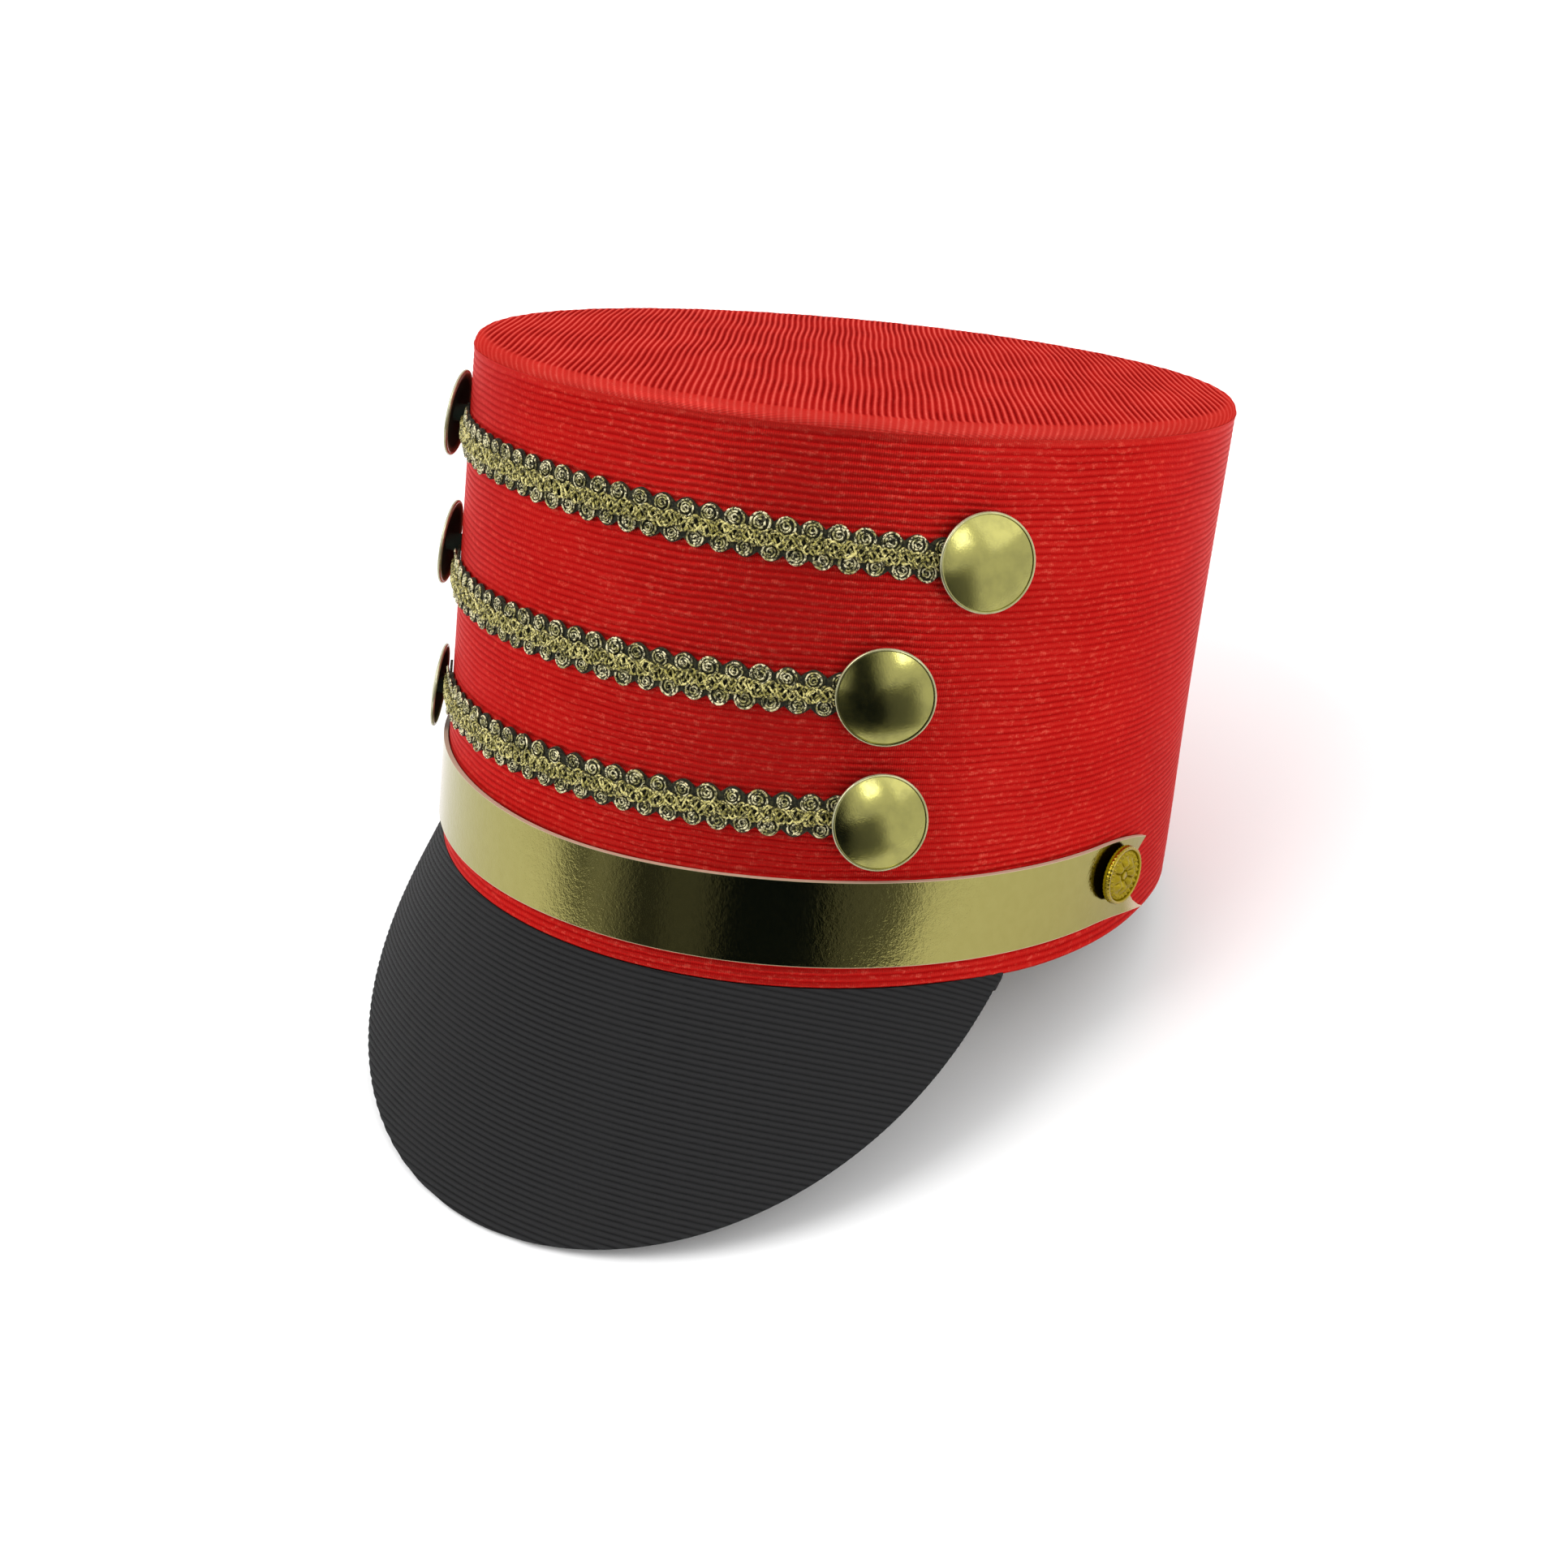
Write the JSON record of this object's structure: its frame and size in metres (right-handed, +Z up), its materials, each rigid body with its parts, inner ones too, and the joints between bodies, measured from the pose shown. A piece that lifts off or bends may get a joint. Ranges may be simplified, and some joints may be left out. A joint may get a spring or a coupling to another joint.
{
  "type": "costume soldier hat",
  "caption": "Stiff round costume hat with a hollow crown, drooping visor, gold band, rows of braid and domed buttons.",
  "frame": {"origin": "on the surface that the hat rests on, under the centre of its box", "axes": "+Z up, the front with the visor towards -Y, +X to the right as seen from the front"},
  "size_m": [0.178, 0.243, 0.1553],
  "materials": {
    "crown_fabric": "finely ribbed satin, soft sheen",
    "top_fabric": "finely ribbed satin, soft sheen",
    "visor_fabric": "finely ribbed satin, semi-matt",
    "band_foil": "smooth metallic coated cloth, glossy",
    "braid_thread": "metallic thread, gimp braid",
    "button_metal": "polished, pressed",
    "side_button_metal": "polished, pressed in relief"
  },
  "bodies": {
    "root": {"crown_wall": "crown_fabric", "crown_top": "top_fabric", "visor": "visor_fabric", "gold_band": "band_foil", "side_button_left": "side_button_metal", "side_button_right": "side_button_metal", "braid_row_1": "braid_thread", "braid_row_2": "braid_thread", "braid_row_3": "braid_thread", "button_1_left": "button_metal", "button_1_right": "button_metal", "button_2_left": "button_metal", "button_2_right": "button_metal", "button_3_left": "button_metal", "button_3_right": "button_metal"}
  },
  "joints": []
}
